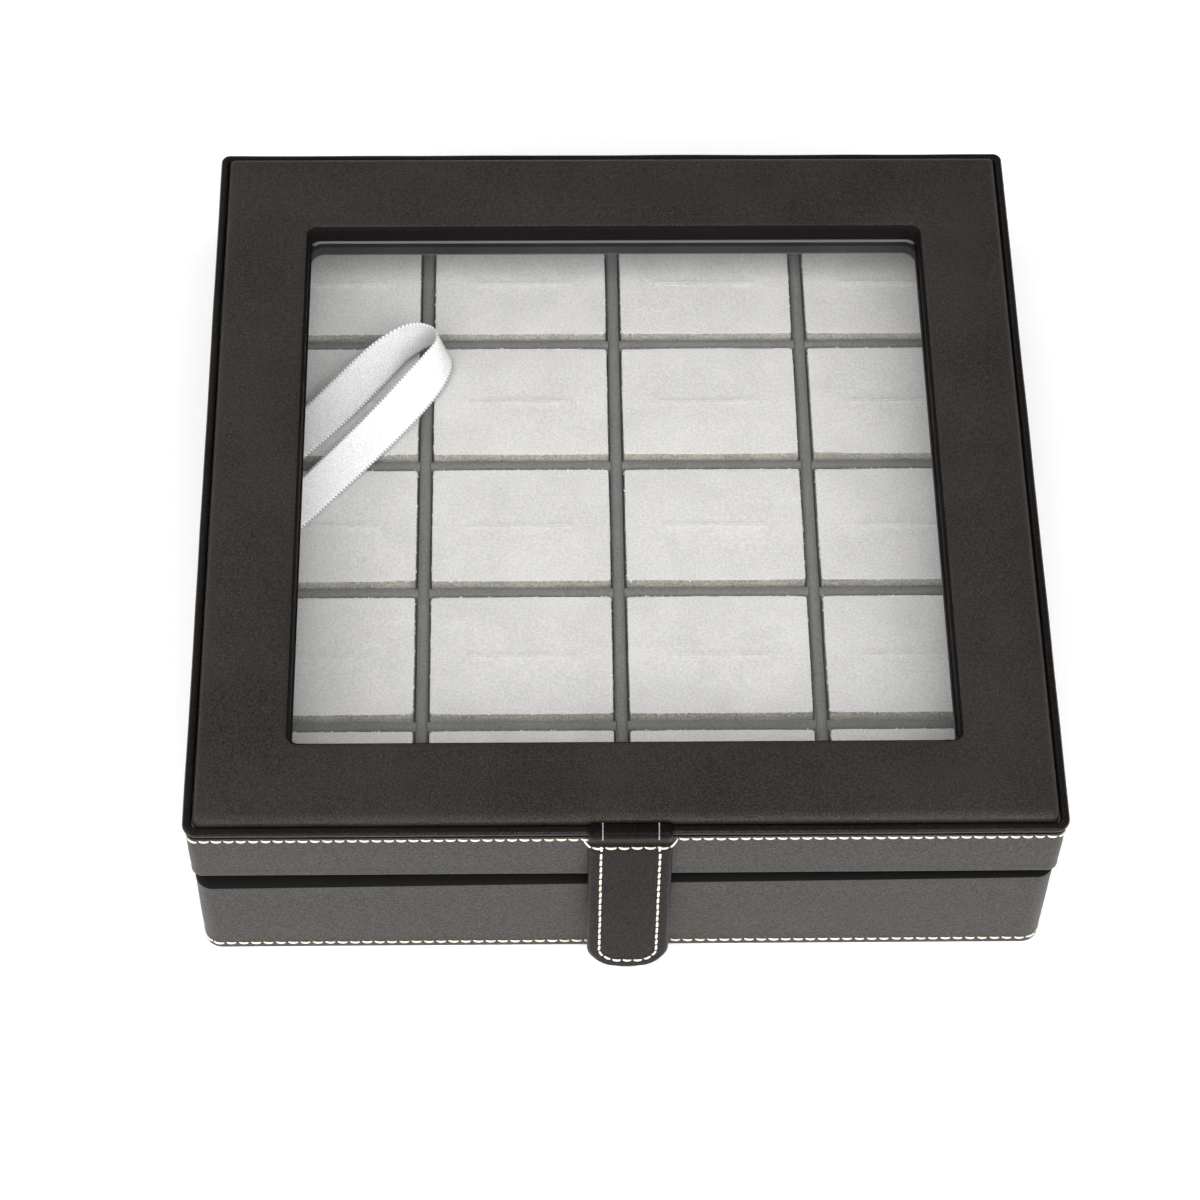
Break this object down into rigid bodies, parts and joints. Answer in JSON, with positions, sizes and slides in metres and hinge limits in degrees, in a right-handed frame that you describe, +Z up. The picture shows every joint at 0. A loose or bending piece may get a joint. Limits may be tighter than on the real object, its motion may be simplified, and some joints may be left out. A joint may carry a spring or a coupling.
{
  "type": "cufflink display box",
  "caption": "Square leather-covered display box with a padded glass-topped hinged lid, strap clasp, and a lift-out tray of slit velvet pads over a storage well.",
  "frame": {"origin": "centre of the underside, on the plane the box stands on", "axes": "+X to the right and +Z up; the clasp is at the front towards -Y and the hinges are at the back towards +Y"},
  "size_m": [0.24, 0.2499, 0.069],
  "materials": {
    "board": "bare thin board",
    "leather": "smooth black leather, satin",
    "piping": "smooth black leather, gloss",
    "strap_leather": "smooth black leather, satin",
    "lining": "short dark grey velvet",
    "felt": "black felt",
    "foam": "open foam",
    "glass": "clear polished glass",
    "retainer": "dark paper-covered board",
    "hinge_steel": "nickel-plated steel",
    "tray_board": "board covered in dark grey velvet",
    "divider_velvet": "dark grey velvet",
    "satin": "white satin",
    "pad_velvet": "light grey velvet on foam"
  },
  "bodies": {
    "base": {"base_floor_board": "board", "base_front_board": "board", "base_back_board": "board", "base_left_board": "board", "base_right_board": "board", "base_leather": "leather", "base_lining": "lining", "tray_ledges": "lining", "underside_felt": "felt", "snap_stud": "hinge_steel", "hinge_base_leaf_left": "hinge_steel", "hinge_base_leaf_right": "hinge_steel", "hinge_base_screws": "hinge_steel", "hinge_pins": "hinge_steel"},
    "lid": {"lid_top_board": "board", "lid_front_board": "board", "lid_back_board": "board", "lid_left_board": "board", "lid_right_board": "board", "lid_padding": "foam", "lid_top_leather": "leather", "lid_side_leather": "leather", "lid_piping": "piping", "window_glass": "glass", "glass_retainer": "retainer", "lid_lining": "lining", "hinge_lid_leaf_left": "hinge_steel", "hinge_lid_leaf_right": "hinge_steel", "hinge_lid_screws": "hinge_steel", "clasp_anchor": "strap_leather"},
    "clasp_tab": {"clasp_tab_face": "strap_leather", "clasp_tab_back": "strap_leather", "snap_socket": "hinge_steel", "snap_cap": "hinge_steel"},
    "tray": {"tray_floor": "tray_board", "tray_walls": "tray_board", "tray_dividers_long": "divider_velvet", "tray_dividers_cross": "divider_velvet", "ribbon_pull": "satin", "pad_r1c1": "pad_velvet", "pad_r1c2": "pad_velvet", "pad_r1c3": "pad_velvet", "pad_r1c4": "pad_velvet", "pad_r2c1": "pad_velvet", "pad_r2c2": "pad_velvet", "pad_r2c3": "pad_velvet", "pad_r2c4": "pad_velvet", "pad_r3c1": "pad_velvet", "pad_r3c2": "pad_velvet", "pad_r3c3": "pad_velvet", "pad_r3c4": "pad_velvet", "pad_r4c1": "pad_velvet", "pad_r4c2": "pad_velvet", "pad_r4c3": "pad_velvet", "pad_r4c4": "pad_velvet", "pad_r5c1": "pad_velvet", "pad_r5c2": "pad_velvet", "pad_r5c3": "pad_velvet", "pad_r5c4": "pad_velvet"}
  },
  "joints": [
    {"name": "lid_hinge", "type": "hinge", "parent": "base", "child": "lid", "pos_m": [0, 0.1212, 0.0412], "axis": [-1, 0, 0], "range_deg": [0, 95]},
    {"name": "tray_lift", "type": "slide", "parent": "base", "child": "tray", "axis": [0, 0, 1], "range_m": [0, 0.05]},
    {"name": "clasp_fold", "type": "hinge", "parent": "lid", "child": "clasp_tab", "pos_m": [0.001, -0.1205, 0.0603], "axis": [-1, 0, 0], "range_deg": [-2.6, 100]}
  ],
  "couplings": [
    {"joint": "tray_lift", "follows": "lid_hinge", "m_per_rad": 0.03}
  ]
}
